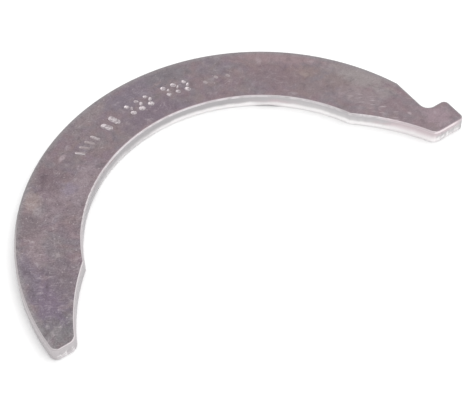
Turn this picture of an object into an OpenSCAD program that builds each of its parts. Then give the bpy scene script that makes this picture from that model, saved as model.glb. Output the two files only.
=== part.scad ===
/* [Ring] */
// Radius of the bore edge, which clears the shaft
bore_r = 36; // [30:0.5:38]
// Radius of the outer edge
outer_r = 49.45; // [47:0.05:56]
// Thickness of the strip
thickness = 3.2; // [1.5:0.1:6]
// How far both end faces lie past the shaft's axis
end_past_axis = 0.85; // [0:0.05:2]

/* [End relief] */
// Height above the axis at which the relief leaves the bore edge
relief_rise = 13.95; // [10:0.05:18]
// Radius of the relief arc
relief_r = 47; // [30:1:80]
// Width of an end face, from the outer edge to the relief, before its corners are rounded
foot_w = 5.15; // [4.3:0.05:8]
// Rounding of the upright corner between a relief and its end face
heel_r = 2.2; // [0.6:0.1:2.5]
// Rounding of the upright corner between the outer edge and the free end face
toe_r = 1.6; // [0.6:0.1:2]

/* [Locating tab] */
// How far the tab's end stands past the outer edge
tab_out = 2.8; // [1.5:0.05:6]
// Width of the tab, from the end face to its flank
tab_w = 6.4; // [4:0.1:9]
// Rounding of the tab's two upright corners
tab_corner_r = 1.2; // [0.6:0.1:1.9]
// How far the straight seat beside the tab is cut in from the outer edge
seat_in = 2.4; // [1.2:0.05:3.5]
// Fillet between the tab's flank and the seat
seat_fillet_r = 2; // [0.8:0.1:3]

/* [Oil grooves] */
// Width of a groove where it meets the lower face
groove_w = 6.5; // [3:0.5:8]
// Depth of a groove
groove_d = 0.4; // [0.2:0.1:1]
// Turn of each groove away from the middle of the ring
groove_turn = 38; // [20:1:55]

/* [Edges] */
// Radius of the rolled edge round the upper face
roll_r = 0.4; // [0.2:0.05:0.55]
// Size of the broken edge round the lower face
break_c = 0.2; // [0.1:0.05:0.5]

/* [Hidden] */
$fn = 128;
// How far a cutting tool runs past what it cuts
over = 4;
// Turn by which a relief tool runs past both ends of its arc
relief_lap = 6;
// How far a rounded end corner stands proud of a true blend, so that it crosses the round wall cleanly
corner_proud = 0.005;

function heading(v) = atan2(v.y, v.x);

// Centre of an arc of radius r between points a and b, on the right of the way from a to b
function arc_centre(a, b, r) =
    let (half = (b - a) / 2)
    let (side = [half.y, -half.x] / norm(half))
    a + half + side * sqrt(r * r - half * half);

end_y = -end_past_axis;

tab_reach = outer_r + tab_out;
seat_reach = outer_r - seat_in;
flank_y = end_y + tab_w;
tab_corner_x = tab_reach - tab_corner_r;
// Height above the axis at which the seat runs out of the outer edge
seat_rise = sqrt(outer_r * outer_r - seat_reach * seat_reach);

relief_from = [sqrt(bore_r * bore_r - relief_rise * relief_rise), relief_rise];
relief_to = [outer_r - foot_w, end_y];
relief_c = arc_centre(relief_from, relief_to, relief_r);
relief_start = heading(relief_to - relief_c) - relief_lap;
relief_sweep = heading(relief_from - relief_c) + relief_lap - relief_start;

// Centres of the rounded corners at the end faces
heel_y = end_y + heel_r;
heel_from_relief = relief_r + heel_r - corner_proud;
heel_c = [relief_c.x + sqrt(pow(heel_from_relief, 2) - pow(heel_y - relief_c.y, 2)), heel_y];
toe_y = end_y + toe_r;
toe_from_axis = outer_r - toe_r + corner_proud;
toe_c = [-sqrt(pow(toe_from_axis, 2) - pow(toe_y, 2)), toe_y];

// Radius of the round tool that leaves a groove of the set width and depth
groove_r = (pow(groove_w / 2, 2) + pow(groove_d, 2)) / (2 * groove_d);

// Section of the plate from an axis out to its wall, with the rolled upper and the broken lower edge
module plate_section(reach) {
    difference() {
        square([reach, thickness]);
        translate([reach - roll_r, thickness - roll_r])
            difference() {
                square(roll_r + over);
                circle(roll_r);
            }
        translate([reach, break_c])
            polygon([[-break_c, -break_c], [over, -break_c - over], [over, over], [0, 0]]);
    }
}

// Section of a tool that clears everything from its axis out to a wall and leaves the wall's edges dressed
module opening_section(reach) {
    difference() {
        translate([0, -over])
            square([reach + roll_r, thickness + 2 * over]);
        translate([reach + roll_r + over, 0])
            mirror([1, 0])
                plate_section(roll_r + over);
    }
}

// Section of a tool that clears what stands outside an upright corner of radius r
module corner_section(r) {
    difference() {
        translate([r - roll_r, -over])
            square([roll_r + r, thickness + 2 * over]);
        plate_section(r);
    }
}

// Straight tool with its wall on the plane x = 0, from y = 0 to the length, clearing the reach towards +X
module straight_opening(reach, length) {
    translate([reach, length, 0])
        rotate([90, 0, 0])
            linear_extrude(length)
                mirror([1, 0])
                    opening_section(reach);
}

module round_opening(r, start = 0, sweep = 360) {
    rotate_extrude(angle = sweep, start = start)
        opening_section(r);
}

module corner_round(centre, r, start, end) {
    translate(centre)
        rotate_extrude(angle = end - start, start = start)
            corner_section(r);
}

// Clears the side of the end plane that lies past the shaft's axis
module end_opening() {
    translate([-tab_reach - over, end_y, 0])
        rotate([0, 0, -90])
            straight_opening(outer_r + over, 2 * (tab_reach + over));
}

// Ring blank, cut off at the end plane, with its free end rounded at the rim
module rim() {
    difference() {
        rotate_extrude()
            plate_section(outer_r);
        end_opening();
        corner_round(toe_c, toe_r, heading(toe_c), 270);
    }
}

module tab_blank() {
    translate([seat_reach - over, flank_y + over, 0])
        rotate([90, 0, 0])
            linear_extrude(tab_w + 2 * over)
                plate_section(tab_reach - seat_reach + over);
}

// Straight seat beside the tab, with its fillet and the tab's flank
module seat_opening() {
    past_tab = tab_reach - seat_reach + over;
    translate([seat_reach, flank_y, 0]) {
        translate([0, seat_fillet_r, 0])
            straight_opening(past_tab, seat_rise + over - flank_y - seat_fillet_r);
        translate([seat_fillet_r, seat_fillet_r, 0])
            round_opening(seat_fillet_r, start = 180, sweep = 90);
        translate([past_tab, 0, 0])
            rotate([0, 0, 90])
                straight_opening(seat_fillet_r, past_tab - seat_fillet_r);
    }
}

module relief_opening() {
    translate(relief_c)
        round_opening(relief_r, relief_start, relief_sweep);
    corner_round(heel_c, heel_r, heading(relief_c - heel_c), -90);
}

// Shallow round-bottomed channel across the lower face, from the bore edge to the outer edge
module oil_groove() {
    translate([0, 0, groove_d - groove_r])
        rotate([-90, 0, 0])
            cylinder(r = groove_r, h = outer_r + over);
}

module thrust_washer() {
    color("#8f8186")
        difference() {
            union() {
                rim();
                tab_blank();
            }
            round_opening(bore_r);
            relief_opening();
            mirror([1, 0, 0])
                relief_opening();
            end_opening();
            seat_opening();
            corner_round([tab_corner_x, end_y + tab_corner_r], tab_corner_r, -90, 0);
            corner_round([tab_corner_x, flank_y - tab_corner_r], tab_corner_r, 0, 90);
            for (turn = [-groove_turn, groove_turn])
                rotate([0, 0, turn])
                    oil_groove();
        }
}

thrust_washer();
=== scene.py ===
"""Dresses the half-ring thrust washer: stained face, rubbed edges, sheared walls and punched marks."""

from __future__ import annotations

import logging
import math
from dataclasses import astuple, dataclass
from enum import Enum, IntEnum
from typing import Any, Iterator, Mapping, Union

import bmesh
import bpy
from mathutils import Matrix, Vector

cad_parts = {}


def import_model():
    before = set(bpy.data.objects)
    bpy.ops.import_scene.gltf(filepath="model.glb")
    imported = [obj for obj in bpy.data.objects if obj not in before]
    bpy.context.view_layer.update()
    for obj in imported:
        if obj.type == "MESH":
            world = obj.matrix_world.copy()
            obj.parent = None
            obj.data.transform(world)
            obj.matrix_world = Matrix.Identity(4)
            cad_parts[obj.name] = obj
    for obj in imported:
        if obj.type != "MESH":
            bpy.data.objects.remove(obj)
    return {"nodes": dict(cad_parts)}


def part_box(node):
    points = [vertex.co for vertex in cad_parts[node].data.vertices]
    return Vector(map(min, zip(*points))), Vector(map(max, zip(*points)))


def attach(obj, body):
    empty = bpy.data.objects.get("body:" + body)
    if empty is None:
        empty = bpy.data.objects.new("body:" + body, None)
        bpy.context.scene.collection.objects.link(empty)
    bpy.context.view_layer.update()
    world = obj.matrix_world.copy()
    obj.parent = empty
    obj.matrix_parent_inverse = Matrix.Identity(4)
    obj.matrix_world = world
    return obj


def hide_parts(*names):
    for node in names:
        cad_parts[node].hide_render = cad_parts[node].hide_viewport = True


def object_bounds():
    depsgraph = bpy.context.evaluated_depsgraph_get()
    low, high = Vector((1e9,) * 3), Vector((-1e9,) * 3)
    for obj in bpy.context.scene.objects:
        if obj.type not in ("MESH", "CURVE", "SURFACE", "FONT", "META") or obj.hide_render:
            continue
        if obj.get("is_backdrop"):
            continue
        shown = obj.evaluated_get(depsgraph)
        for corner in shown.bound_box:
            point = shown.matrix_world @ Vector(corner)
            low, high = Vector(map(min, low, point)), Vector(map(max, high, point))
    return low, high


LOG = logging.getLogger("thrust_washer")
MM = 0.001
IMAGE_WIDTH_PX = 475
SENSOR_WIDTH_MM = 36.0

Colour = tuple[float, float, float, float]
Stretch = tuple[float, float, float]
# Where a mask is 0, and where it is 1
Span = tuple[float, float]


def srgb(code: str) -> Colour:
    """Turns a colour as it is seen into the linear values that a shader takes.

    Args:
        code: Six hexadecimal digits, red first.

    Returns:
        Linear red, green, blue and a full alpha.
    """
    channels = [int(code[i:i + 2], 16) / 255 for i in (0, 2, 4)]
    linear = [c / 12.92 if c <= 0.04045 else ((c + 0.055) / 1.055) ** 2.4 for c in channels]
    return (*linear, 1.0)


class Term:
    """A shader value that Python expressions can use."""

    def __init__(self, shader: Shader, socket: bpy.types.NodeSocket) -> None:
        """Keeps the shader and the socket that gives the value."""
        self.shader = shader
        self.socket = socket

    def __add__(self, other: Value) -> Term:
        """Adds a value."""
        return self.shader.math("ADD", self, other)

    def __radd__(self, other: Value) -> Term:
        """Is added to a value."""
        return self.shader.math("ADD", other, self)

    def __sub__(self, other: Value) -> Term:
        """Takes a value away."""
        return self.shader.math("SUBTRACT", self, other)

    def __rsub__(self, other: Value) -> Term:
        """Is taken away from a value."""
        return self.shader.math("SUBTRACT", other, self)

    def __mul__(self, other: Value) -> Term:
        """Multiplies by a value."""
        return self.shader.math("MULTIPLY", self, other)

    def __rmul__(self, other: Value) -> Term:
        """Multiplies a value."""
        return self.shader.math("MULTIPLY", other, self)

    def __truediv__(self, other: Value) -> Term:
        """Divides by a value."""
        return self.shader.math("DIVIDE", self, other)

    def __abs__(self) -> Term:
        """Drops the sign."""
        return self.shader.math("ABSOLUTE", self)

    def root(self) -> Term:
        """Takes the square root."""
        return self.shader.math("SQRT", self)

    def larger(self, other: Value) -> Term:
        """Takes the larger of two values."""
        return self.shader.math("MAXIMUM", self, other)

    def between(self, low: float, high: float) -> Term:
        """Gives the low number at 0 and the high one at 1."""
        return low + self * (high - low)

    def ease(self, low: float, high: float) -> Term:
        """Runs smoothly from 0 at low to 1 at high, whichever of the two is larger.

        Args:
            low: Where the result is 0.
            high: Where the result is 1.

        Returns:
            The eased value.
        """
        settings = {"interpolation_type": "SMOOTHSTEP"}
        made = self.shader.node("ShaderNodeMapRange", settings, {0: self, 1: low, 2: high})
        return Term(self.shader, made.outputs[0])


Value = Union[Term, float]
Paint = Union[Term, Colour, str]


@dataclass(frozen=True, kw_only=True)
class Pattern:
    """How a pattern lies on the surface.

    Attributes:
        turn: How far the surface is turned about Z under it, in degrees.
        stretch: Factors along X, Y and Z after the turn.
    """

    turn: float = 0.0
    stretch: Stretch = (1.0, 1.0, 1.0)


@dataclass(frozen=True, kw_only=True)
class Cloud(Pattern):
    """A cloudy pattern round 0.5.

    Attributes:
        size: How large its lumps are, in millimetres.
        detail: How many finer layers it has.
        tangle: How much it is distorted.
    """

    size: float
    detail: float = 2.0
    tangle: float = 0.0


@dataclass(frozen=True, kw_only=True)
class Dots(Pattern):
    """Scattered dots, which a stretch draws out.

    Attributes:
        radius: A dot's radius, in millimetres.
        share: The share of places that hold a dot.
        spacing: How far apart the places for dots are, in millimetres.
        core: The share of a dot's radius within which it is full.
        firm: The share of the dots that have their full strength. The rest are fainter.
    """

    radius: float
    share: float
    spacing: float = 1.0
    core: float = 0.4
    firm: float = 0.6


@dataclass(frozen=True, kw_only=True)
class Lines:
    """Broken, slightly wavy lines that run one way.

    Attributes:
        way: The way that they run, in degrees from X.
        length: About how long a line is, in millimetres.
        gap: About how far apart lines are, in millimetres.
        width: A line's width, in millimetres.
        flanks: Where a line's side begins and ends, as a share of its width.
        breaks: Where the cloud that breaks the lines hides them, and where it leaves them.
        break_turn: How far that cloud is turned from the lines, in degrees.
        break_stretch: How far that cloud is stretched across the lines.
    """

    way: float
    length: float
    gap: float
    width: float
    flanks: Span = (0.22, 0.05)
    breaks: Span = (0.52, 0.62)
    break_turn: float = 31.0
    break_stretch: float = 0.6


@dataclass(frozen=True)
class Spot:
    """A round or long place on the upper face.

    Attributes:
        turn: Its middle, in degrees anticlockwise from the crown.
        radius: Its middle's distance from the shaft's axis, in millimetres.
        along: Half its length round the ring, in millimetres.
        across: Half its width across the ring, in millimetres.
    """

    turn: float
    radius: float
    along: float
    across: float


@dataclass(frozen=True)
class Stain(Spot):
    """A soft patch of another colour.

    Attributes:
        tint: Its colour as it is seen.
        strength: How far it covers the steel.
    """

    tint: str
    strength: float


@dataclass(frozen=True)
class Place:
    """Where a point of the surface lies, as shader values.

    Attributes:
        point: The point itself, in millimetres.
        x: How far it lies towards the tab, in millimetres.
        y: How far it lies towards the crown, in millimetres.
        height: Its height above the lower face, in millimetres.
        radius: Its distance from the shaft's axis, in millimetres.
        turn: Its turn from the crown, in degrees anticlockwise.
    """

    point: Term
    x: Term
    y: Term
    height: Term
    radius: Term
    turn: Term

    def reach(self, spot: Spot) -> Term:
        """Tells how far off a spot's middle the point is.

        Args:
            spot: The spot.

        Returns:
            0 at the spot's middle, 1 at its edge and more outside.
        """
        along = (self.turn - spot.turn) * (math.radians(spot.radius) / spot.along)
        across = (self.radius - spot.radius) / spot.across
        return (along * along + across * across).root()


class Shader:
    """The nodes of a material or a world, added one at a time."""

    def __init__(self, owner: bpy.types.Material | bpy.types.World) -> None:
        """Clears the owner's nodes.

        Args:
            owner: The material or world.
        """
        owner.use_nodes = True
        self.owner = owner
        self.nodes = owner.node_tree.nodes
        self.links = owner.node_tree.links
        self.nodes.clear()

    @classmethod
    def material(cls, name: str) -> Shader:
        """Starts a new material."""
        return cls(bpy.data.materials.new(name))

    def node(self, kind: str, settings: Mapping[str, Any], sockets: Mapping[Any, Any]) -> bpy.types.Node:
        """Adds a node.

        Args:
            kind: The node's type.
            settings: What is set on the node itself, first.
            sockets: What each input takes: a term, a socket, a number or a colour.

        Returns:
            The new node.
        """
        made = self.nodes.new(kind)
        for name, value in settings.items():
            setattr(made, name, value)
        for name, value in sockets.items():
            source = value.socket if isinstance(value, Term) else value
            if isinstance(source, bpy.types.NodeSocket):
                self.links.new(source, made.inputs[name])
            else:
                made.inputs[name].default_value = source
        return made

    def math(self, operation: str, *values: Value) -> Term:
        """Works on numbers.

        Args:
            operation: The Math node's operation.
            values: Its inputs.

        Returns:
            The result.
        """
        made = self.node("ShaderNodeMath", {"operation": operation}, dict(enumerate(values)))
        return Term(self, made.outputs[0])

    def mix(self, share: Value, low: Paint, high: Paint) -> Term:
        """Blends two colours.

        Args:
            share: 0 for the first colour, 1 for the second.
            low: The first colour.
            high: The second colour.

        Returns:
            The blend.
        """
        first, second = (srgb(paint) if isinstance(paint, str) else paint for paint in (low, high))
        sockets = {"Factor": share, 6: first, 7: second}
        return Term(self, self.node("ShaderNodeMix", {"data_type": "RGBA"}, sockets).outputs[2])

    def split(self, vector: Term) -> tuple[Term, Term, Term]:
        """Takes a vector apart."""
        made = self.node("ShaderNodeSeparateXYZ", {}, {0: vector})
        return tuple(Term(self, out) for out in made.outputs)

    def join(self, x: Value, y: Value, z: Value) -> Term:
        """Puts a vector together."""
        return Term(self, self.node("ShaderNodeCombineXYZ", {}, {0: x, 1: y, 2: z}).outputs[0])

    def place(self) -> Place:
        """Finds where a point of the surface lies.

        Returns:
            The point's place on the ring.
        """
        metres = self.node("ShaderNodeTexCoord", {}, {}).outputs["Object"]
        made = self.node("ShaderNodeVectorMath", {"operation": "SCALE"}, {0: metres, "Scale": 1 / MM})
        point = Term(self, made.outputs[0])
        x, y, height = self.split(point)
        turn = self.math("DEGREES", self.math("ARCTAN2", 0 - x, y))
        return Place(point, x, y, height, (x * x + y * y).root(), turn)

    def laid(self, vector: Term, pattern: Pattern) -> Term:
        """Turns and stretches a vector as a pattern lies.

        Args:
            vector: What is turned.
            pattern: The pattern.

        Returns:
            The new vector.
        """
        turned = self.node("ShaderNodeVectorRotate", {"rotation_type": "Z_AXIS"},
                           {"Vector": vector, "Angle": math.radians(pattern.turn)})
        made = self.node("ShaderNodeVectorMath", {"operation": "MULTIPLY"},
                         {0: turned.outputs[0], 1: pattern.stretch})
        return Term(self, made.outputs[0])

    def noise(self, vector: Term, cloud: Cloud) -> Term:
        """Draws a cloudy pattern.

        Args:
            vector: Where the cloud is read.
            cloud: The pattern.

        Returns:
            The cloud's value.
        """
        sockets = {
            "Vector": self.laid(vector, cloud),
            "Scale": 1 / cloud.size,
            "Detail": cloud.detail,
            "Distortion": cloud.tangle,
        }
        return Term(self, self.node("ShaderNodeTexNoise", {}, sockets).outputs["Fac"])

    def dots(self, vector: Term, *sets: Dots) -> Term:
        """Scatters dots.

        Args:
            vector: Where the dots lie.
            sets: The sets of dots, which lie over each other.

        Returns:
            1 in a dot, 0 outside.
        """
        drawn = []
        for dots in sets:
            sockets = {"Vector": self.laid(vector, dots), "Scale": 1 / dots.spacing}
            cell = self.node("ShaderNodeTexVoronoi", {}, sockets)
            size = dots.radius / dots.spacing
            near = Term(self, cell.outputs["Distance"]).ease(size, dots.core * size)
            chance = self.split(Term(self, cell.outputs["Color"]))[0]
            drawn.append(near * chance.ease(1 - dots.share, 1 - dots.firm * dots.share))
        return sum(drawn)

    def lines(self, vector: Term, *sets: Lines) -> Term:
        """Draws broken lines.

        Args:
            vector: Where the lines lie.
            sets: The sets of lines, which lie over each other.

        Returns:
            1 on a line, 0 beside it.
        """
        drawn = []
        for lines in sets:
            run = (1 / lines.length, 1 / lines.gap, 1 / lines.gap)
            waves = self.noise(vector, Cloud(turn=-lines.way, stretch=run, size=1.0, detail=0.0))
            start, full = (flank * lines.width / lines.gap for flank in lines.flanks)
            patch = (1 / lines.length, lines.break_stretch / lines.gap, 1.0)
            turn = lines.break_turn - lines.way
            whole = self.noise(vector, Cloud(turn=turn, stretch=patch, size=1.0, detail=1.0))
            drawn.append(abs(waves - 0.5).ease(start, full) * whole.ease(*lines.breaks))
        return sum(drawn)

    def finish(self, colour: Term, roughness: Term, bump: Term, bump_mm: float) -> bpy.types.Material:
        """Closes the material with a metal surface.

        Args:
            colour: The metal's colour.
            roughness: How matt it is.
            bump: The height of the fine relief, from 0 to 1.
            bump_mm: How high 1 is.

        Returns:
            The finished material.
        """
        relief = self.node("ShaderNodeBump", {}, {"Height": bump, "Distance": bump_mm * MM})
        sockets = {
            "Base Color": colour,
            "Metallic": 1.0,
            "Roughness": roughness,
            "Normal": relief.outputs[0],
        }
        surface = self.node("ShaderNodeBsdfPrincipled", {}, sockets)
        self.node("ShaderNodeOutputMaterial", {}, {"Surface": surface.outputs[0]})
        return self.owner


STAINS = (
    Stain(86, 45.5, 5, 5, "817f81", 0.8),
    Stain(77, 45.2, 7, 3.6, "807384", 0.8),
    Stain(68, 47.6, 6, 2.2, "847d85", 0.7),
    Stain(72, 41, 6, 3, "81777e", 0.7),
    Stain(66, 46.6, 5, 2.6, "857a86", 0.7),
    Stain(61, 45.2, 4.5, 2, "9b8c90", 0.8),
    Stain(53, 46.6, 4, 3, "86797d", 0.7),
    Stain(46, 47, 3, 2.3, "a49593", 0.8),
    Stain(46, 42.5, 6, 3, "96878d", 0.7),
    Stain(38, 45.6, 4, 3, "83747a", 0.8),
    Stain(38, 38.6, 7, 3, "9a8c92", 0.8),
    Stain(15, 47.6, 6, 2, "968b8d", 0.7),
    Stain(2, 46, 7, 3.5, "877d88", 0.8),
    Stain(-1, 38.8, 9, 3, "837681", 0.8),
    Stain(-10, 46.8, 5, 2.6, "837e83", 0.8),
    Stain(-41, 47.6, 11, 1.7, "9d8a8d", 0.8),
    Stain(-40, 41.5, 8, 3.6, "89787d", 0.7),
    Stain(-49, 44.2, 4, 2, "94817e", 0.6),
    Stain(-63, 46.4, 7, 3.2, "9b9393", 0.9),
    Stain(-66, 42, 6, 3, "988b8e", 0.7),
    Stain(-57.5, 43.4, 3.5, 2.2, "8d7f7f", 0.7),
    Stain(-51, 39.8, 4.5, 3, "8e7f80", 0.6),
    Stain(39.6, 40.5, 1.7, 1.5, "948998", 0.6),
    Stain(38.6, 46.5, 1.3, 0.9, "6b5c64", 0.45),
    Stain(48.5, 45.2, 1.6, 1.4, "a39a9d", 0.6),
    Stain(30, 45.3, 1.4, 0.5, "b6a6ab", 0.7),
    Stain(-48.5, 43.4, 1.8, 0.7, "a49692", 0.5),
    Stain(-35, 46.7, 0.6, 1.2, "a6989b", 0.6),
    Stain(-86, 47.8, 3.6, 2.8, "9f8d94", 0.8),
    Stain(-80.8, 44.1, 0.55, 0.35, "b6aaae", 0.6),
    Stain(-46.5, 37.4, 0.9, 0.4, "aca2a6", 0.5),
)


@dataclass(frozen=True)
class Mottle:
    """A cloud whose thick parts are dark and whose thin parts are pale.

    Attributes:
        cloud: The pattern.
        thick: Where the dark parts begin, and where they are full.
        thin: Where the pale parts begin, and where they are full.
        dark: How dark it gets on the smooth side, and on the rough side.
        pale: How pale it gets on the smooth side, and on the rough side.
    """

    cloud: Cloud
    thick: Span
    thin: Span
    dark: Span
    pale: Span


@dataclass(frozen=True)
class StainedFace:
    """The stamped upper face: matt grey steel with a warm cast, clouds, stains, specks and scratches.

    Turns are in degrees from the crown, lengths in millimetres. A share tells how far a colour covers what
    lies under it, and a height or depth is a share of the bump.

    Attributes:
        warm: The steel's colour where it looks warm.
        cool: The steel's colour where it looks cool.
        pale: The colour of specks and scratches.
        dark: The colour of pits and old oil.
        rim: The colour of the band along the outer edge.
        tan: The colour of faint rusty clouds.
        violet: The colour of faint clouds of heat tint.
        clouds: The change between warm and cool.
        warm_from: Where those clouds turn from cool to warm.
        hues: The change between tan and violet.
        tan_from: Where those hues become tan.
        tan_share: How tan they get.
        violet_from: Where those hues become violet.
        violet_share: How violet they get.
        off_tab: The turns from which there is violet.
        stains: The patches of other colours.
        ragged: The cloud that makes the edges of stains and of the rim ragged.
        stain_ragged: How ragged a stain is.
        stain_fade: From where to where a stain fades in, as shares of its size.
        outer_radius: Radius of the outer edge.
        rim_fade: How far inside the outer edge the rim's band begins and is full.
        rim_ragged: How ragged the band is.
        rim_turn: The turns from which there is a band.
        rim_share: How far the band covers the steel.
        rough_side: The turns over which the face goes from smooth to rough.
        blotches: The coarse mottle.
        grain: The fine mottle.
        handling: The cloud of places that are handled.
        handling_drift: How much more the free arm is handled, for each radian of turn.
        handled: Where handling begins to show, and where it shows in full.
        specks: Small pale dots.
        speck_share: How pale they are.
        speck_height: How far they stand out.
        pits: Small dark dots.
        pit_share: How dark they are.
        pit_depth: How deep they are.
        scratches: Long thin lines.
        scratch_least: How much of the scratches is left where nothing is handled.
        scratch_share: How pale they are.
        scratch_depth: How deep they are.
        scratch_gloss: How much less matt they are.
        nicks: Short thin marks where the face is handled.
        nick_share: How pale they are.
        nick_depth: How deep nicks and rubs are.
        rubs: Short thin marks in the rubbed places.
        rub_share: How pale they are.
        rubbed: The rubbed places, each with how rubbed it is.
        rub_fade: From where to where a rubbed place fades in, as shares of its size.
        roughness: How matt the face is in thin and in thick blotches.
        bump_mm: Height of the fine relief.
    """

    warm: str = "8f7e83"
    cool: str = "8a8186"
    pale: str = "c5bbbe"
    dark: str = "62585d"
    rim: str = "989496"
    tan: str = "988a83"
    violet: str = "8a7c8e"
    clouds: Cloud = Cloud(size=5.0, detail=1.5, tangle=1.2)
    warm_from: Span = (0.28, 0.72)
    hues: Cloud = Cloud(turn=25, size=2.6, detail=1.0, tangle=0.6)
    tan_from: Span = (0.50, 0.72)
    tan_share: float = 0.22
    violet_from: Span = (0.50, 0.28)
    violet_share: float = 0.24
    off_tab: Span = (-75, -25)
    stains: tuple[Stain, ...] = STAINS
    ragged: Cloud = Cloud(size=2.2, detail=5.0, tangle=0.8)
    stain_ragged: float = 2.0
    stain_fade: Span = (1.3, 0.4)
    outer_radius: float = 49.45
    rim_fade: Span = (1.6, 0.3)
    rim_ragged: float = 0.8
    rim_turn: Span = (-80, -76)
    rim_share: float = 0.7
    rough_side: Span = (-30, 75)
    blotches: Mottle = Mottle(
        cloud=Cloud(size=1.6, detail=4.0, tangle=0.5),
        thick=(0.50, 0.74),
        thin=(0.46, 0.24),
        dark=(0.27, 0.43),
        pale=(0.20, 0.32),
    )
    grain: Mottle = Mottle(
        cloud=Cloud(size=0.3, detail=3.0),
        thick=(0.50, 0.70),
        thin=(0.46, 0.28),
        dark=(0.18, 0.40),
        pale=(0.10, 0.22),
    )
    handling: Cloud = Cloud(size=8.0)
    handling_drift: float = 0.12
    handled: Span = (0.34, 0.66)
    specks: Dots = Dots(radius=0.2, share=0.25)
    speck_share: float = 0.55
    speck_height: float = 0.6
    pits: Dots = Dots(turn=40, radius=0.22, share=0.3, spacing=1.3)
    pit_share: float = 0.40
    pit_depth: float = 0.6
    scratches: tuple[Lines, ...] = (
        Lines(way=35, length=3.0, gap=1.3, width=0.18),
        Lines(way=118, length=2.4, gap=1.5, width=0.18),
    )
    scratch_least: float = 0.3
    scratch_share: float = 0.14
    scratch_depth: float = 0.4
    scratch_gloss: float = 0.08
    nicks: tuple[Dots, ...] = (
        Dots(turn=52, stretch=(0.40, 1.5, 1.0), radius=0.2, share=0.25),
        Dots(turn=-35, stretch=(0.45, 1.5, 1.0), radius=0.2, share=0.25),
    )
    nick_share: float = 0.40
    nick_depth: float = 0.5
    rubs: tuple[Dots, ...] = (
        Dots(turn=36, stretch=(0.42, 1.7, 1.0), radius=0.36, share=0.6),
        Dots(turn=36, stretch=(0.42, 1.7, 2.3), radius=0.36, share=0.6),
        Dots(turn=36, stretch=(0.42, 1.7, 3.7), radius=0.36, share=0.6),
    )
    rub_share: float = 0.30
    rubbed: tuple[tuple[Spot, float], ...] = (
        (Spot(-73, 41.3, 8.0, 2.2), 1.0),
        (Spot(72, 44.5, 15.0, 5.0), 0.5),
    )
    rub_fade: Span = (1.3, 0.5)
    roughness: Span = (0.47, 0.59)
    bump_mm: float = 0.012

    def material(self) -> bpy.types.Material:
        """Builds the material.

        Returns:
            The upper face's material.
        """
        shader = Shader.material("stained_face")
        at = shader.place()
        blotches = shader.noise(at.point, self.blotches.cloud)
        grain = shader.noise(at.point, self.grain.cloud)
        drift = at.turn * math.radians(self.handling_drift)
        handled = (shader.noise(at.point, self.handling) + drift).ease(*self.handled)
        specks = shader.dots(at.point, self.specks) * handled
        pits = shader.dots(at.point, self.pits) * handled
        scratches = shader.lines(at.point, *self.scratches) * handled.between(self.scratch_least, 1.0)
        nicks = shader.dots(at.point, *self.nicks) * handled
        rubbed = sum(at.reach(spot).ease(*self.rub_fade) * share for spot, share in self.rubbed)
        rubs = shader.dots(at.point, *self.rubs) * rubbed

        rough = at.turn.ease(*self.rough_side)
        colour = self.stained(shader, at, self.steel(shader, at))
        colour = self.mottled(shader, blotches, self.blotches, rough, colour)
        colour = self.mottled(shader, grain, self.grain, rough, colour)
        colour = shader.mix(pits * self.pit_share, colour, self.dark)
        colour = shader.mix(specks * self.speck_share, colour, self.pale)
        colour = shader.mix(scratches * self.scratch_share, colour, self.pale)
        colour = shader.mix(nicks * self.nick_share, colour, self.pale)
        colour = shader.mix(rubs * self.rub_share, colour, self.pale)

        bump = (grain + blotches) * 0.5 + specks * self.speck_height - scratches * self.scratch_depth
        bump = bump - pits * self.pit_depth - (nicks + rubs) * self.nick_depth
        roughness = blotches.between(*self.roughness) - scratches * self.scratch_gloss
        return shader.finish(colour, roughness, bump, self.bump_mm)

    def steel(self, shader: Shader, at: Place) -> Term:
        """Colours the bare steel.

        Args:
            shader: The material's shader.
            at: The place on the ring.

        Returns:
            The steel's colour, with its faint hues.
        """
        clouds = shader.noise(at.point, self.clouds)
        hues = shader.noise(at.point, self.hues)
        colour = shader.mix(clouds.ease(*self.warm_from), self.cool, self.warm)
        colour = shader.mix(hues.ease(*self.tan_from) * self.tan_share, colour, self.tan)
        violet = hues.ease(*self.violet_from) * at.turn.ease(*self.off_tab) * self.violet_share
        return shader.mix(violet, colour, self.violet)

    def stained(self, shader: Shader, at: Place, colour: Term) -> Term:
        """Lays the stains and the outer edge's band over a colour.

        Args:
            shader: The material's shader.
            at: The place on the ring.
            colour: What lies under them.

        Returns:
            The stained colour.
        """
        ragged = shader.noise(at.point, self.ragged) - 0.5
        for stain in self.stains:
            reach = at.reach(stain) + ragged * self.stain_ragged
            colour = shader.mix(reach.ease(*self.stain_fade) * stain.strength, colour, stain.tint)
        start, full = (self.outer_radius - inset for inset in self.rim_fade)
        band = (at.radius + ragged * self.rim_ragged).ease(start, full)
        return shader.mix(band * at.turn.ease(*self.rim_turn) * self.rim_share, colour, self.rim)

    def mottled(self, shader: Shader, cloud: Term, mottle: Mottle, rough: Term, colour: Term) -> Term:
        """Lays a mottle over a colour.

        Args:
            shader: The material's shader.
            cloud: The mottle's cloud.
            mottle: The mottle.
            rough: 0 on the smooth side, 1 on the rough side.
            colour: What lies under it.

        Returns:
            The mottled colour.
        """
        colour = shader.mix(cloud.ease(*mottle.thick) * rough.between(*mottle.dark), colour, self.dark)
        return shader.mix(cloud.ease(*mottle.thin) * rough.between(*mottle.pale), colour, self.pale)


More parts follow.
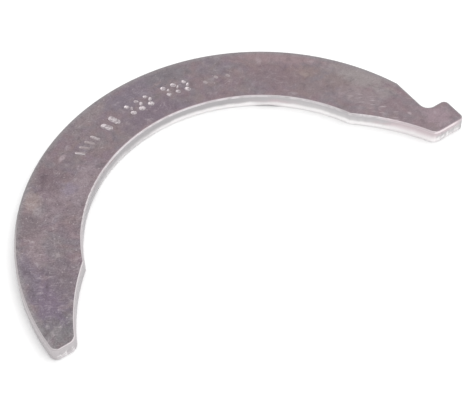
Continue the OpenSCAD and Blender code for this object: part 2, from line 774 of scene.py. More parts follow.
@dataclass(frozen=True)
class RolledEdge:
    """The rolled edge round the upper face: stained at the top, rubbed clean on the sides that are handled,
    and lighter there partly by painted highlights.

    Turns are in degrees from the crown, lengths in millimetres.

    Attributes:
        stained: The colour at the top of the roll.
        dull: The colour of the roll where nothing rubs it.
        worn: The colour of the roll where it is rubbed a little.
        bright: The colour of the roll where it is rubbed more.
        shade: The colour of the rubbed roll from the crown to the free arm, dimmer there as painted shade.
        crown_highlight: The colour of the roll at the crown, a painted highlight.
        blush: The colour of the roll near the tab, where it has a warm cast.
        end_highlight: The colour of the roll at the tab's end face, a painted highlight.
        patches: The change between worn and bright.
        bright_from: Where those patches turn from worn to bright.
        highlight_from: Where those patches hold the painted highlight at the crown.
        end_face: Where an end face begins along Y.
        inside: The radii inside which every edge is rubbed, and lighter partly by painted highlight.
        tip: The turns past which the free arm's edges are rubbed, and lighter partly by painted highlight.
        crown_start: The turns at which the crown begins, on the tab's side.
        crown_end: The turns at which the crown ends, on the free side.
        free_side: The turns from which the roll is shaded.
        shade_share: How far the shade covers it.
        near_tab: The turns from which the roll has a warm cast.
        blush_share: How far the warm cast covers it.
        tab_side: Where the tab's half of the ring begins along X.
        tab_corner: Where the tab's outer corner ends the painted highlight on the end face.
        top: Height of the upper face.
        roll_drop: How far below the upper face the stained top ends.
        patch_drop: How much lower it ends in thick patches.
        patch_rise: How much higher it ends everywhere, to make up for the patches.
        free_drop: How much lower it ends on the free side.
        crown_rise: How much higher it ends at the crown.
        end_drop: How much lower it ends at an end face.
        tip_rise: How much higher it ends at the free tip.
        arm: The turns from which it ends higher on the free arm.
        arm_rise: How much higher it ends there.
        grain: The fine relief.
        roughness: How matt the roll is in thin and in thick grain.
        bump_mm: Height of the fine relief.
    """

    stained: str = "908388"
    dull: str = "9b9698"
    worn: str = "c0bbbd"
    bright: str = "d6d1d3"
    shade: str = "c3bdbf"
    crown_highlight: str = "ded8db"
    blush: str = "d2c4c8"
    end_highlight: str = "efe4e7"
    patches: Cloud = Cloud(size=2.0, detail=4.0, tangle=0.6)
    bright_from: Span = (0.36, 0.66)
    highlight_from: Span = (0.25, 0.6)
    end_face: Span = (-0.2, -0.45)
    inside: Span = (46.0, 44.0)
    tip: Span = (49, 59)
    crown_start: Span = (-40, -24)
    crown_end: Span = (36, 20)
    free_side: Span = (-45, -15)
    shade_share: float = 0.9
    near_tab: Span = (-74, -80)
    blush_share: float = 0.7
    tab_side: Span = (0.0, 10.0)
    tab_corner: Span = (51.2, 48.8)
    top: float = 3.2
    roll_drop: float = 0.05
    patch_drop: float = 0.04
    patch_rise: float = 0.03
    free_drop: float = 0.07
    crown_rise: float = 0.025
    end_drop: float = 0.05
    tip_rise: float = 0.06
    arm: Span = (24, 44)
    arm_rise: float = 0.06
    grain: Cloud = Cloud(size=0.25)
    roughness: Span = (0.38, 0.54)
    bump_mm: float = 0.010

    def material(self) -> bpy.types.Material:
        """Builds the material.

        Returns:
            The rolled edge's material.
        """
        shader = Shader.material("rolled_edge")
        at = shader.place()
        patches = shader.noise(at.point, self.patches)
        grain = shader.noise(at.point, self.grain)
        end = at.y.ease(*self.end_face)
        tip = at.turn.ease(*self.tip)
        crown = at.turn.ease(*self.crown_start) * at.turn.ease(*self.crown_end)
        free_side = at.turn.ease(*self.free_side)

        clean = shader.mix(patches.ease(*self.bright_from), self.worn, self.bright)
        # painted shade on the roll from the crown to the free arm
        clean = shader.mix(free_side * self.shade_share, clean, self.shade)
        # painted highlight on the roll at the crown
        clean = shader.mix(crown * patches.ease(*self.highlight_from), clean, self.crown_highlight)
        clean = shader.mix(at.turn.ease(*self.near_tab) * self.blush_share, clean, self.blush)
        # painted highlight along the tab's end face
        on_tab = end * at.x.ease(*self.tab_side) * at.x.ease(*self.tab_corner)
        clean = shader.mix(on_tab, clean, self.end_highlight)

        level = at.height + patches * self.patch_drop - self.patch_rise + free_side * self.free_drop
        level = level - crown * self.crown_rise + end * self.end_drop - tip * self.tip_rise
        level = level - at.turn.ease(*self.arm) * self.arm_rise
        clean = shader.mix(level.ease(self.top, self.top - self.roll_drop), self.stained, clean)

        # the inner edges, end faces and tip are lighter than the outer roll: partly rubbed wear, partly
        # painted highlight
        handled = at.radius.ease(*self.inside).larger(end).larger(tip)
        colour = shader.mix(handled, self.dull, clean)
        return shader.finish(colour, grain.between(*self.roughness), grain, self.bump_mm)


@dataclass(frozen=True)
class ShearedWall:
    """The blanked wall: dull under the edge, streaked where it was sheared, and paler below, where the matt
    fracture zone also holds a painted reflection of the bright floor.

    Turns are in degrees from the crown, lengths in millimetres. A share tells how far a colour covers what
    lies under it.

    Attributes:
        dull: The colour just under the rolled edge.
        grey: The sheared part's colour.
        shade: The sheared part's colour from the crown to the free arm, darker there as painted shade.
        tip: The sheared part's colour at the free end, lighter than the shade as painted light.
        blush: The colour of warm patches in the sheared part.
        rust: The colour of thin stains just under the edge, on the free arm.
        pale: The lower part's colour: the matt fracture zone with a painted reflection of the bright floor.
        corner: The colour of painted shade round the tab's outer corner.
        foot: The colour of painted shade on the broken lower edge, standing for the contact shadow at the
            wall's foot.
        inner_side: The radii inside which a wall faces the shaft.
        end_face: Where an end face begins along Y.
        streaks: Fine upright streaks.
        streaked: Where a streak begins, and where it is full.
        streak_share: How dull a streak is.
        wander: The cloud that makes the levels wander.
        wander_mm: How far they wander.
        patches: The warm patches.
        blush_from: Where a warm patch begins, and where it is full.
        shoulder: The heights from which the wall is dull under the edge.
        shaded: The turns from which the wall is shaded.
        tip_from: The turns from which it has the tip's colour.
        dimmed: The turns from which the inner wall of the free arm is dimmer.
        dim_share: How dim it is.
        near_tab: The turns from which the wall has a warm cast.
        end_foot: The heights below which an end face has none.
        ruddy_share: How warm it is.
        under_edge: The heights from which there are thin stains.
        rust_wander: Where they begin along the wandering edge, and where they are full.
        rust_start: The turns at which they begin.
        rust_end: The turns at which they end.
        rust_share: How rusty they are.
        before_crown: The turns from which the lower part is a little dimmer.
        past_crown: The turns from which it is dimmer, lower and softer.
        free_arm: The turns from which it is dimmer and lower still.
        near_tip: The turns from which it is dimmest.
        losses: How much dimmer it gets at each of those four, where less of the painted reflection lies.
        outer_pale: How much of the pale lower part shows on the outer wall.
        end_pale: How much of it shows on an end face.
        groove_turn: Turn of the oil grooves, at whose mouths the lower part is dimmer by painted shade.
        groove_fade: How far from a groove's middle it is dimmer.
        groove_pale: How much of the pale lower part shows at a groove, where painted shade dims it.
        split: Height of the line between the sheared and the lower part.
        crown_drop: How much lower the line is past the crown.
        arm_drop: How much lower it is on the free arm.
        ruddy_rise: How much higher it is near the tab.
        fade: How soft the line is.
        crown_fade: How much softer it is past the crown.
        ruddy_fade: How much softer it is near the tab.
        foot_blush: How warm the lower part is near the tab.
        mottle: The mottle of the end faces.
        mottle_pale: Where its pale parts begin, and where they are full.
        mottle_foot: The heights below which it has pale parts.
        pale_share: How pale they are.
        mottle_dark: Where its dark parts begin, and where they are full.
        dark_share: How dark they are.
        tab_corner: Where the tab's outer corner begins along X.
        corner_side: Where it begins along Y.
        corner_share: How dark that painted shade is.
        foot_shade: The heights below which the broken edge holds painted shade.
        darkening_share: How dark that painted shade is before the crown, and past it.
        roughness: How matt the wall is in thin and in thick streaks.
        bump_mm: Height of the fine relief.
    """

    dull: str = "bbb8ba"
    grey: str = "c6c3c4"
    shade: str = "b0adaf"
    tip: str = "c0bbbd"
    blush: str = "cbbcc0"
    rust: str = "a59296"
    pale: str = "faf8f8"
    corner: str = "b0afb0"
    foot: str = "6a6466"
    inner_side: Span = (46.8, 45.2)
    end_face: Span = (-0.5, -0.8)
    streaks: Cloud = Cloud(stretch=(1.0, 1.0, 0.12), size=0.4, detail=3.0)
    streaked: Span = (0.5, 0.75)
    streak_share: float = 0.25
    wander: Cloud = Cloud(stretch=(1.0, 1.0, 0.3), size=2.6, detail=3.0)
    wander_mm: float = 0.7
    patches: Cloud = Cloud(size=7.0)
    blush_from: Span = (0.42, 0.62)
    shoulder: Span = (1.7, 2.7)
    shaded: Span = (-50, -20)
    tip_from: Span = (45, 60)
    dimmed: Span = (56, 68)
    dim_share: float = 0.6
    near_tab: Span = (-76, -82)
    end_foot: Span = (2.4, 1.6)
    ruddy_share: float = 0.85
    under_edge: Span = (2.2, 2.45)
    rust_wander: Span = (-0.02, 0.1)
    rust_start: Span = (15, 25)
    rust_end: Span = (52, 44)
    rust_share: float = 0.6
    before_crown: Span = (-34, -12)
    past_crown: Span = (-6, 14)
    free_arm: Span = (22, 40)
    near_tip: Span = (43, 54)
    losses: tuple[float, float, float, float] = (0.12, 0.24, 0.22, 0.34)
    outer_pale: float = 0.45
    end_pale: float = 0.5
    groove_turn: float = 38.0
    groove_fade: Span = (3, 7)
    groove_pale: float = 0.8
    split: float = 1.25
    crown_drop: float = 0.36
    arm_drop: float = 0.3
    ruddy_rise: float = 0.3
    fade: float = 0.5
    crown_fade: float = 0.45
    ruddy_fade: float = 0.5
    foot_blush: float = 0.15
    mottle: Cloud = Cloud(size=0.8, tangle=0.4)
    mottle_pale: Span = (0.50, 0.62)
    mottle_foot: Span = (2.2, 1.4)
    pale_share: float = 0.5
    mottle_dark: Span = (0.50, 0.36)
    dark_share: float = 0.35
    tab_corner: Span = (50.4, 51.5)
    corner_side: Span = (0.9, 0.2)
    corner_share: float = 0.9
    foot_shade: Span = (0.22, 0.05)
    darkening_share: Span = (0.35, 0.75)
    roughness: Span = (0.36, 0.52)
    bump_mm: float = 0.015

    def material(self) -> bpy.types.Material:
        """Builds the material.

        Returns:
            The walls' material.
        """
        shader = Shader.material("sheared_wall")
        at = shader.place()
        inner = at.radius.ease(*self.inner_side)
        end = at.y.ease(*self.end_face)
        ruddy = at.turn.ease(*self.near_tab) * (1 - end * at.height.ease(*self.end_foot))
        ruddy = ruddy * inner.larger(end)
        streaks = shader.noise(at.point, self.streaks)
        wander = shader.noise(at.point, self.wander) - 0.5
        level = at.height + wander * self.wander_mm

        colour = self.sheared(shader, at, level)
        dimmed = at.turn.ease(*self.dimmed) * inner * (1 - end)
        colour = shader.mix(dimmed * self.dim_share, colour, self.shade)
        colour = shader.mix(ruddy * self.ruddy_share, colour, self.blush)
        under_edge = at.height.ease(*self.under_edge) * wander.ease(*self.rust_wander) * inner
        rusty = at.turn.ease(*self.rust_start) * at.turn.ease(*self.rust_end)
        colour = shader.mix(under_edge * rusty * self.rust_share, colour, self.rust)
        colour = shader.mix(streaks.ease(*self.streaked) * self.streak_share, colour, self.dull)
        pale = shader.mix(ruddy * self.foot_blush, self.pale, self.blush)
        below = self.below_split(at, level, ruddy)
        # the pale lower part: matt fracture zone with a painted reflection of the bright floor, weaker
        # round the ring and at the grooves
        colour = shader.mix(below * self.pale_reach(at, inner, end), colour, pale)
        colour = self.mottled_end(shader, at, end, colour)
        # painted shade: the tab's outer corner is darkened
        corner = at.x.ease(*self.tab_corner) * at.y.ease(*self.corner_side)
        colour = shader.mix(corner * self.corner_share, colour, self.corner)
        # painted shade: the broken lower edge is darkened to stand for the contact shadow at the wall's
        # foot
        foot_shade = at.height.ease(*self.foot_shade) * (1 - end)
        foot_shade = foot_shade * at.turn.ease(*self.past_crown).between(*self.darkening_share)
        colour = shader.mix(foot_shade, colour, self.foot)
        return shader.finish(colour, streaks.between(*self.roughness), streaks, self.bump_mm)

    def sheared(self, shader: Shader, at: Place, level: Term) -> Term:
        """Colours the sheared part.

        Args:
            shader: The material's shader.
            at: The place on the ring.
            level: The wandering height.

        Returns:
            The colour round the ring.
        """
        patches = shader.noise(at.point, self.patches)
        colour = shader.mix(patches.ease(*self.blush_from), self.grey, self.blush)
        colour = shader.mix(level.ease(*self.shoulder), colour, self.dull)
        # painted shade from the crown to the free arm, and painted light at the free end
        colour = shader.mix(at.turn.ease(*self.shaded), colour, self.shade)
        return shader.mix(at.turn.ease(*self.tip_from), colour, self.tip)

    def below_split(self, at: Place, level: Term, ruddy: Term) -> Term:
        """Tells whether a point lies in the lower part.

        Args:
            at: The place on the ring.
            level: The wandering height.
            ruddy: 1 where the wall has a warm cast.

        Returns:
            0 in the sheared part, 1 in the lower part.
        """
        past_crown = at.turn.ease(*self.past_crown)
        free_arm = at.turn.ease(*self.free_arm)
        split = self.split - past_crown * self.crown_drop - free_arm * self.arm_drop
        split = split + ruddy * self.ruddy_rise
        fade = self.fade + past_crown * self.crown_fade + ruddy * self.ruddy_fade
        return ((split - level) / fade).ease(-1.0, 1.0)

    def pale_reach(self, at: Place, inner: Term, end: Term) -> Term:
        """Tells how much of the pale lower part shows, with its painted reflection.

        Args:
            at: The place on the ring.
            inner: 1 on a wall that faces the shaft.
            end: 1 on an end face.

        Returns:
            1 where it shows in full.
        """
        clean = 1.0
        # the painted reflection weakens from the tab's side round to the free tip
        stretches = (self.before_crown, self.past_crown, self.free_arm, self.near_tip)
        for stretch, loss in zip(stretches, self.losses):
            clean = clean - at.turn.ease(*stretch) * loss
        clean = clean * inner.between(self.outer_pale, 1.0)
        clean = clean + end * (self.end_pale - clean)
        # painted shade at the oil grooves' mouths
        off_groove = abs(abs(at.turn) - self.groove_turn)
        return clean * off_groove.ease(*self.groove_fade).between(self.groove_pale, 1.0)

    def mottled_end(self, shader: Shader, at: Place, end: Term, colour: Term) -> Term:
        """Lays the end faces' mottle over a colour.

        Args:
            shader: The material's shader.
            at: The place on the ring.
            end: 1 on an end face.
            colour: What lies under it.

        Returns:
            The mottled colour.
        """
        mottle = shader.noise(at.point, self.mottle)
        pale = mottle.ease(*self.mottle_pale) * end * at.height.ease(*self.mottle_foot)
        colour = shader.mix(pale * self.pale_share, colour, self.pale)
        return shader.mix(mottle.ease(*self.mottle_dark) * end * self.dark_share, colour, self.shade)


@dataclass(frozen=True)
class RunningFace:
    """The lower face and its oil grooves: finer steel with faint rings from running on a collar.

    Attributes:
        steel: The steel's colour.
        ring: The colour of the rings.
        oil: The colour of old oil.
        groove: The colour of the grooves, lighter than the steel as painted light for their shaded mouths.
        rings: The rings' pattern, across and along the ring.
        ring_run: How fast that pattern changes along the ring, for each radian of turn.
        ringed: Where a ring begins, and where it is full.
        ring_share: How plain a ring is.
        clouds: The clouds of oil.
        oiled: Where oil begins, and where it is full.
        darkening_share: How dark it is.
        groove_rise: The heights from which a groove has its lighter colour, in millimetres.
        roughness: How matt the face is in thin and in thick clouds.
        bump_mm: Height of the fine relief, in millimetres.
    """

    steel: str = "a39da0"
    ring: str = "b9b4b6"
    oil: str = "6f6660"
    groove: str = "cbc6c8"
    rings: Cloud = Cloud(size=0.14, detail=3.0)
    ring_run: float = 2.0
    ringed: Span = (0.35, 0.7)
    ring_share: float = 0.6
    clouds: Cloud = Cloud(size=6.0, detail=4.0, tangle=0.6)
    oiled: Span = (0.55, 0.8)
    darkening_share: float = 0.4
    groove_rise: Span = (0.05, 0.3)
    roughness: Span = (0.36, 0.50)
    bump_mm: float = 0.006

    def material(self) -> bpy.types.Material:
        """Builds the material.

        Returns:
            The running face's material.
        """
        shader = Shader.material("running_face")
        at = shader.place()
        along = at.turn * math.radians(self.ring_run)
        rings = shader.noise(shader.join(at.radius, along, 0.0), self.rings)
        clouds = shader.noise(at.point, self.clouds)
        colour = shader.mix(rings.ease(*self.ringed) * self.ring_share, self.steel, self.ring)
        colour = shader.mix(clouds.ease(*self.oiled) * self.darkening_share, colour, self.oil)
        # painted light: the grooves are lighter to brighten their shaded mouths
        colour = shader.mix(at.height.ease(*self.groove_rise), colour, self.groove)
        return shader.finish(colour, clouds.between(*self.roughness), rings, self.bump_mm)


@dataclass(frozen=True)
class PunchedSteel:
    """The fresh steel inside a punched mark, lightened partly as painted glints.

    Attributes:
        bright: The colour of the freshest steel, partly a painted glint.
        dull: The colour of steel that has dulled.
        faint: The colour of the shallow marks at the row's ends.
        row: The middle of the row, in degrees from the crown.
        row_end: How far from its middle the steel begins to look faint, and looks so in full, in degrees.
        faint_share: How faint they are.
        grain: The change between bright and dull.
        dull_from: Where that grain turns from bright to dull.
        roughness: How matt the steel is in thin and in thick grain.
        bump_mm: Height of the fine relief, in millimetres.
    """

    bright: str = "d2cacd"
    dull: str = "a3999d"
    faint: str = "9e9294"
    row: float = 2.0
    row_end: Span = (16.0, 19.2)
    faint_share: float = 0.8
    grain: Cloud = Cloud(size=0.5, detail=3.0)
    dull_from: Span = (0.38, 0.66)
    roughness: Span = (0.46, 0.60)
    bump_mm: float = 0.02

    def material(self) -> bpy.types.Material:
        """Builds the material.

        Returns:
            The marks' material.
        """
        shader = Shader.material("punched_steel")
        at = shader.place()
        grain = shader.noise(at.point, self.grain)
        # painted glints: the fresh steel is lighter, partly to show glints
        colour = shader.mix(grain.ease(*self.dull_from), self.bright, self.dull)
        faint = abs(at.turn - self.row).ease(*self.row_end)
        colour = shader.mix(faint * self.faint_share, colour, self.faint)
        return shader.finish(colour, grain.between(*self.roughness), grain, self.bump_mm)


class Zone(IntEnum):
    """The parts of the surface, each with a finish of its own, in the order of the material slots."""

    FACE = 0
    EDGE = 1
    WALL = 2
    RUNNING = 3
    PUNCH = 4


FINISHES = {
    Zone.FACE: StainedFace(),
    Zone.EDGE: RolledEdge(),
    Zone.WALL: ShearedWall(),
    Zone.RUNNING: RunningFace(),
    Zone.PUNCH: PunchedSteel(),
}


class MarkKind(Enum):
    """The kinds of mark in the row of punch marks."""

    STROKE = "one leaning stroke"
    OVAL = "one long oval"
    PRICKS = "three round pricks in a crooked row"
    FAINT = "one shallow prick"


@dataclass(frozen=True)
class Punch:
    """One tool mark in the upper face, in millimetres and degrees.

    Attributes:
        turn: Its middle, anticlockwise from the crown.
        radius: Its middle's distance from the shaft's axis.
        length: How far a stroke is drawn out, 0 for a round prick.
        lean: How far a stroke leans off the radius.
        width: Its width at the face.
        depth: Its depth.
    """

    turn: float = 0.0
    radius: float = 0.0
    length: float = 0.0
    lean: float = 0.0
    width: float = 0.0
    depth: float = 0.0

    def moved(self, change: Punch, share: float = 1.0) -> Punch:
        """Adds a share of a change to each value.

        Args:
            change: The change.
            share: How much of it is added.

        Returns:
            The changed mark.
        """
        return Punch(*(value + share * extra for value, extra in zip(astuple(self), astuple(change))))


# The marks of each kind about the row's middle, each with how it changes as the hand drifts
PUNCHES = {
    MarkKind.STROKE: (
        (Punch(length=1.6, lean=14, width=0.72, depth=0.10), Punch(radius=1, length=1, lean=50)),
    ),
    MarkKind.OVAL: (
        (Punch(length=1.5, lean=14, width=1.30, depth=0.20), Punch(radius=1, length=1, lean=-40)),
    ),
    MarkKind.PRICKS: (
        (Punch(0.2, 1.1, 0.25, 40, 0.90, 0.15), Punch(turn=1, width=1)),
        (Punch(-0.6, 0.1, 0.4, -35, 0.55, 0.08), Punch(radius=1, width=-1)),
        (Punch(0, -1.15, 0.25, 40, 1.05, 0.18), Punch(turn=-1, radius=1, width=-1)),
    ),
    MarkKind.FAINT: (
        (Punch(length=0.4, lean=40, width=0.70, depth=0.05), Punch(radius=4)),
    ),
}


@dataclass(frozen=True)
class PunchTool:
    """The tapered tool that leaves a mark.

    Attributes:
        sides: How many sides it has.
        foot: The radius of its tip, as a share of the mark's width.
        head: The radius of its other end, as a share of the mark's width.
        proud: How far it stands out of the face, as a share of the mark's depth.
    """

    sides: int = 22
    foot: float = 0.12
    head: float = 0.69
    proud: float = 0.5

    def add(self, tools: bmesh.types.BMesh, mark: Punch, top: float) -> None:
        """Adds the tool for one mark.

        Args:
            tools: The mesh that collects the tools.
            mark: The mark that it leaves.
            top: Height of the upper face, in metres.
        """
        proud = self.proud * mark.depth
        cone = bmesh.ops.create_cone(
            tools,
            cap_ends=True,
            segments=self.sides,
            radius1=self.foot * mark.width * MM,
            radius2=self.head * mark.width * MM,
            depth=(mark.depth + proud) * MM,
        )["verts"]
        outer = [v for v in cone if v.co.y > 0]
        inner = [v for v in cone if v.co.y <= 0]
        bmesh.ops.translate(tools, verts=outer, vec=(0, 0.5 * mark.length * MM, 0))
        bmesh.ops.translate(tools, verts=inner, vec=(0, -0.5 * mark.length * MM, 0))
        place = (
            Matrix.Rotation(math.radians(mark.turn), 4, "Z")
            @ Matrix.Translation((0, mark.radius * MM, top + 0.5 * (proud - mark.depth) * MM))
            @ Matrix.Rotation(math.radians(mark.lean), 4, "Z")
        )
        bmesh.ops.transform(tools, verts=cone, matrix=place)


@dataclass(frozen=True)
class MarkGroup:
    """Evenly spaced marks of one kind, in degrees.

    Attributes:
        kind: What each mark is.
        first: The first mark's turn from the crown.
        pitch: The turn from one mark to the next.
        count: How many marks there are.
        drift: The most that the hand drifts from mark to mark.
        drift_run: How fast the drift changes with the turn.
    """

    kind: MarkKind
    first: float
    pitch: float
    count: int
    drift: float = 0.15
    drift_run: float = 2.4

    def punches(self, radius: float) -> Iterator[Punch]:
        """Lists the tool marks.

        Args:
            radius: Radius of the row's middle, in millimetres.

        Yields:
            Each tool mark of the group.
        """
        for i in range(self.count):
            turn = self.first + i * self.pitch
            drift = self.drift * math.sin(self.drift_run * turn)
            for mark, change in PUNCHES[self.kind]:
                yield mark.moved(change, drift).moved(Punch(turn=turn, radius=radius))


@dataclass
class ThrustWasher:
    """The half ring, which keeps its packed form and gets its punch marks and finishes.

    Attributes:
        node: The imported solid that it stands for.
        mark_radius: Radius of the row of marks, in millimetres.
        mark_reach: How far a mark reaches to both sides of that radius, in millimetres.
        mark_spread: How far the row runs to both sides, as a share of the distance towards the crown.
        mark_groups: The row's groups of marks.
        tool: The tool that leaves the marks.
        crease: The angle from which an edge stays sharp, in degrees.
        flat: The angle up to which neighbouring faces are one flat face, in degrees.
        merge: The distance up to which the copy's points are one point, in millimetres.
        face_slack: How far below the top a face still counts as the upper face, in millimetres.
        face_slope: The upward part of the normal from which a face is the upper face.
        punch_slope: The upward part of the normal from which a face is in a mark.
        wall_slope: The upward part of the normal up to which a face is a wall.
        running_slope: The upward part of the normal up to which a face is the running face.
    """

    node: str = "thrust_washer"
    mark_radius: float = 42.35
    mark_reach: float = 2.6
    mark_spread: float = 0.5
    mark_groups: tuple[MarkGroup, ...] = (
        MarkGroup(MarkKind.STROKE, 26.7, -2.3, 4),
        MarkGroup(MarkKind.OVAL, 14.6, -3.3, 2),
        MarkGroup(MarkKind.PRICKS, 5.3, -3.15, 3),
        MarkGroup(MarkKind.PRICKS, -7.1, -3.05, 3),
        MarkGroup(MarkKind.FAINT, -19.0, -3.5, 3),
    )
    tool: PunchTool = PunchTool()
    crease: float = 15.0
    flat: float = 0.05
    merge: float = 0.0001
    face_slack: float = 0.001
    face_slope: float = 0.99999
    punch_slope: float = 0.05
    wall_slope: float = 0.02
    running_slope: float = -0.9

    def build(self, solid: bpy.types.Object) -> bpy.types.Object:
        """Makes the dressed washer.

        Args:
            solid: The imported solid's object.

        Returns:
            The finished piece, which stands for the solid.
        """
        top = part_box(self.node)[1].z
        piece = self.copy(solid)
        self.strike_marks(piece, top)
        self.dress(piece, top)
        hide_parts(self.node)
        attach(piece, "root")
        return piece

    def copy(self, solid: bpy.types.Object) -> bpy.types.Object:
        """Copies the solid's mesh, with its seams merged and its flat faces whole.

        Args:
            solid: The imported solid's object.

        Returns:
            A new object with the copy.
        """
        form = bmesh.new()
        form.from_mesh(solid.data)
        bmesh.ops.remove_doubles(form, verts=form.verts, dist=self.merge * MM)
        limit = math.radians(self.flat)
        bmesh.ops.dissolve_limit(form, angle_limit=limit, verts=form.verts, edges=form.edges)
        return add_object("half_ring", form)

    def strike_marks(self, piece: bpy.types.Object, top: float) -> None:
        """Cuts the row of punch marks into the upper face.

        Args:
            piece: The washer.
            top: Height of the upper face, in metres.
        """
        tools = bmesh.new()
        for group in self.mark_groups:
            for mark in group.punches(self.mark_radius):
                self.tool.add(tools, mark, top)
        cutter = add_object("punches", tools)
        cut = piece.modifiers.new("marks", "BOOLEAN")
        cut.operation = "DIFFERENCE"
        cut.solver = "EXACT"
        cut.object = cutter
        blank = piece.data
        struck = piece.evaluated_get(bpy.context.evaluated_depsgraph_get())
        piece.data = bpy.data.meshes.new_from_object(struck)
        piece.modifiers.remove(cut)
        bpy.data.objects.remove(cutter)
        bpy.data.meshes.remove(blank)

    def zone(self, face: bmesh.types.BMFace, top: float) -> Zone:
        """Tells which part of the surface a face belongs to.

        Args:
            face: The face.
            top: Height of the upper face, in metres.

        Returns:
            The face's zone.
        """
        middle = face.calc_center_median()
        slope = face.normal.z
        off_row = abs(Vector(middle.xy).length - self.mark_radius * MM)
        in_row = off_row < self.mark_reach * MM and abs(middle.x) < self.mark_spread * middle.y
        if slope > self.face_slope and middle.z > top - self.face_slack * MM:
            return Zone.FACE
        if slope > self.punch_slope and in_row:
            return Zone.PUNCH
        if slope < self.running_slope:
            return Zone.RUNNING
        if slope < self.wall_slope:
            return Zone.WALL
        return Zone.EDGE

    def dress(self, piece: bpy.types.Object, top: float) -> None:
        """Gives each part of the surface its finish, and smooths all but the creases.

        Args:
            piece: The washer.
            top: Height of the upper face, in metres.
        """
        piece.data.materials.clear()
        for zone in Zone:
            piece.data.materials.append(FINISHES[zone].material())
        form = bmesh.new()
        form.from_mesh(piece.data)
        form.normal_update()
        for face in form.faces:
            face.smooth = True
            face.material_index = self.zone(face, top)
        for edge in form.edges:
            edge.smooth = edge.calc_face_angle(0.0) < math.radians(self.crease)
        form.to_mesh(piece.data)
        form.free()
        weigh = piece.modifiers.new("flat faces stay flat", "WEIGHTED_NORMAL")
        weigh.keep_sharp = True


def add_object(name: str, form: bmesh.types.BMesh) -> bpy.types.Object:
    """Puts a finished mesh into the scene.

    Args:
        name: The object's name.
        form: The mesh, which is freed.

    Returns:
        The new object, at the origin.
    """
    mesh = bpy.data.meshes.new(name)
    form.to_mesh(mesh)
    form.free()
    made = bpy.data.objects.new(name, mesh)
    bpy.context.scene.collection.objects.link(made)
    return made


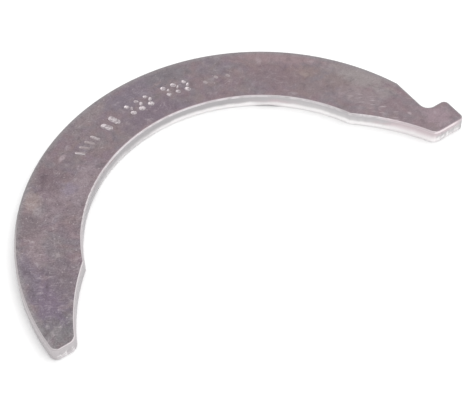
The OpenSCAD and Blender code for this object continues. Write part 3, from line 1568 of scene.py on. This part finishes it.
@dataclass
class Studio:
    """The pale floor, the soft light and the camera.

    Attributes:
        floor_size: Side of the floor, in metres.
        floor_colour: The floor's colour in the light that it sends on.
        floor_lift: How many times brighter the floor looks by itself and in the steel, so that it is white.
        world_colour: Colour of the even light from all round.
        world_level: Level of that light.
        key_level: Level of the soft lamp.
        key_spread: How wide the lamp is, in degrees.
        key_side: The lamp's place, in degrees to the right of the way that the camera looks.
        key_height: The lamp's height above the horizon, in degrees.
        heading: The way that the camera looks, in degrees anticlockwise from +Y.
        elevation: How steeply it looks down, in degrees.
        roll: How far it is tilted, in degrees.
        distance: From the camera to the point that it looks at, in millimetres.
        aim: That point on the upper face, in millimetres.
        focal_px: The lens's focal length, in pixels of the photograph.
        clip_start: The distance from which the camera sees, in metres.
    """

    floor_size: float = 3.0
    floor_colour: str = "f4f4f4"
    floor_lift: float = 1.15
    world_colour: str = "ffffff"
    world_level: float = 0.86
    key_level: float = 1.0
    key_spread: float = 60.0
    key_side: float = 73.0
    key_height: float = 66.0
    heading: float = -36.16
    elevation: float = 51.192
    roll: float = 0.354
    distance: float = 303.47
    aim: tuple[float, float, float] = (-0.925, 7.61, 3.2)
    focal_px: float = 1509.46
    clip_start: float = 0.01

    def build(self) -> None:
        """Makes the floor, the light and the camera."""
        self.add_floor()
        self.add_world()
        self.add_key()
        self.add_camera()
        bpy.context.scene.view_settings.view_transform = "Standard"

    def add_floor(self) -> None:
        """Makes the plain floor, with the object's shadow on it."""
        form = bmesh.new()
        bmesh.ops.create_grid(form, x_segments=1, y_segments=1, size=0.5 * self.floor_size)
        floor = add_object("floor", form)
        shader = Shader.material("pale_floor")
        path = shader.node("ShaderNodeLightPath", {}, {}).outputs
        rays = ("Is Camera Ray", "Is Glossy Ray", "Is Transmission Ray")
        seen = sum(Term(shader, path[ray]) for ray in rays)
        plain = srgb(self.floor_colour)
        white = (*(self.floor_lift * channel for channel in plain[:3]), 1.0)
        matt = shader.node("ShaderNodeBsdfDiffuse", {}, {"Color": shader.mix(seen, plain, white)})
        shader.node("ShaderNodeOutputMaterial", {}, {"Surface": matt.outputs[0]})
        floor.data.materials.append(shader.owner)
        floor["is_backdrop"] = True

    def add_world(self) -> None:
        """Makes the even light from all round."""
        bpy.context.scene.world = bpy.data.worlds.new("studio")
        shader = Shader(bpy.context.scene.world)
        sockets = {"Color": srgb(self.world_colour), "Strength": self.world_level}
        light = shader.node("ShaderNodeBackground", {}, sockets)
        shader.node("ShaderNodeOutputWorld", {}, {"Surface": light.outputs[0]})

    def add_key(self) -> None:
        """Makes the wide soft lamp at the right."""
        lamp = bpy.data.lights.new("key", "SUN")
        lamp.energy = self.key_level
        lamp.angle = math.radians(self.key_spread)
        key = bpy.data.objects.new("key", lamp)
        way = Matrix.Rotation(math.radians(self.heading - self.key_side), 3, "Z") @ Vector((0, 1, 0))
        rise = math.radians(self.key_height)
        towards = way * math.cos(rise) + Vector((0, 0, math.sin(rise)))
        key.rotation_euler = (-towards).to_track_quat("-Z", "Y").to_euler()
        bpy.context.scene.collection.objects.link(key)

    def add_camera(self) -> None:
        """Makes the camera at the photograph's place."""
        lens = bpy.data.cameras.new("camera")
        lens.sensor_width = SENSOR_WIDTH_MM
        lens.lens = self.focal_px * SENSOR_WIDTH_MM / IMAGE_WIDTH_PX
        lens.clip_start = self.clip_start
        camera = bpy.data.objects.new("camera", lens)
        look = (
            Matrix.Rotation(math.radians(self.heading), 4, "Z")
            @ Matrix.Rotation(math.radians(90 - self.elevation), 4, "X")
            @ Matrix.Rotation(math.radians(self.roll), 4, "Z")
        )
        back = look @ Vector((0, 0, self.distance * MM))
        camera.matrix_world = Matrix.Translation(Vector(self.aim) * MM + back) @ look
        bpy.context.scene.collection.objects.link(camera)
        bpy.context.scene.camera = camera


def main() -> None:
    """Builds the washer and its studio, and reports each piece."""
    logging.basicConfig(level=logging.INFO, format="%(message)s")
    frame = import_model()
    solid_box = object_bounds()
    washer = ThrustWasher()
    piece = washer.build(frame["nodes"][washer.node])
    LOG.info("%s: %d faces, %d finishes", piece.name, len(piece.data.polygons), len(piece.data.materials))
    Studio().build()
    LOG.info("studio: floor, world, key lamp and camera")
    boxes = {"cad": solid_box, "visual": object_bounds()}
    {name: [list(corner) for corner in box] for name, box in boxes.items()}


if __name__ == "__main__":
    main()
